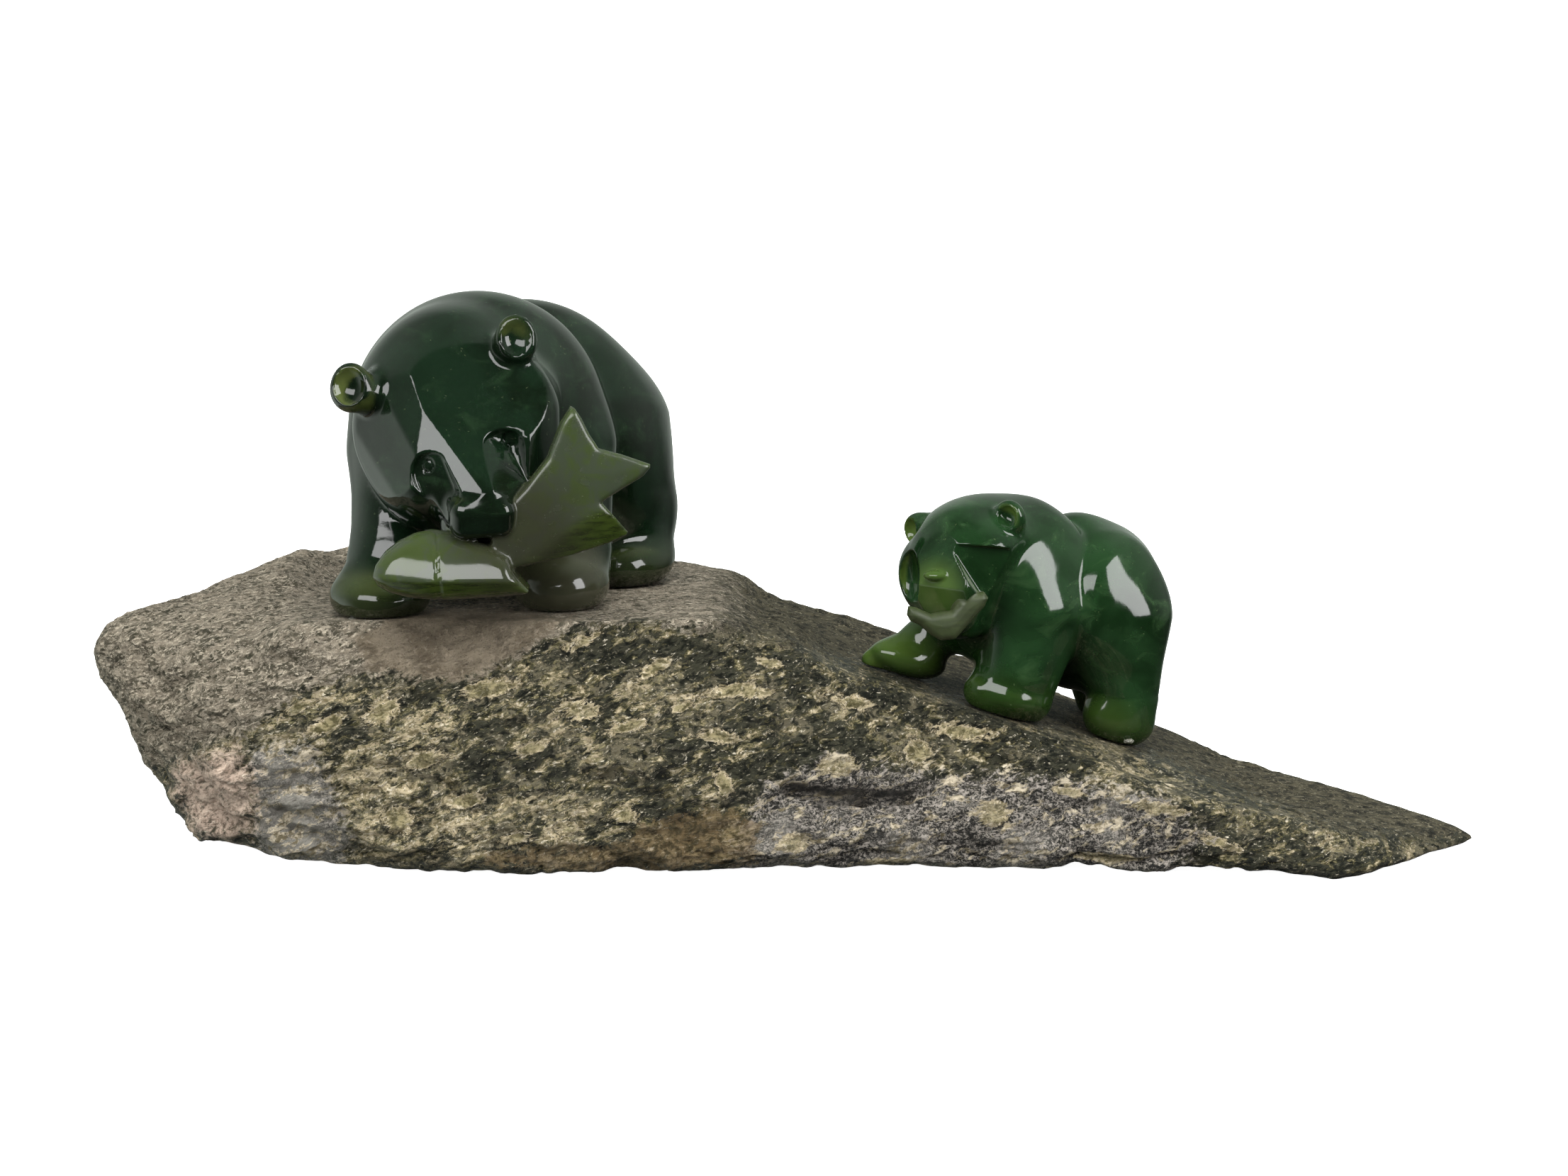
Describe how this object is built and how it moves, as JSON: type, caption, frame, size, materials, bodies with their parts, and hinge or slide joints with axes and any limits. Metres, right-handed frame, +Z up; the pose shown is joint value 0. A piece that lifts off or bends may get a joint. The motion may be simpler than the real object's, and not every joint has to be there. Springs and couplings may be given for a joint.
{
  "type": "jade bear group carving",
  "caption": "Carved nephrite mother bear with a salmon in her mouth, and her cub, on a long natural stone slab.",
  "frame": {"origin": "middle of the group's footprint, on the surface that the slab rests on", "axes": "+X along the slab from its thick end to its thin tip, -Y the side that the mother faces, +Z up"},
  "size_m": [0.2864, 0.1236, 0.1088],
  "materials": {
    "slab_stone": "rough",
    "dark_nephrite": "polished",
    "green_nephrite": "polished"
  },
  "bodies": {
    "root": {"rock_base": "slab_stone", "mother_bear": "dark_nephrite", "cub_bear": "green_nephrite"}
  },
  "joints": []
}
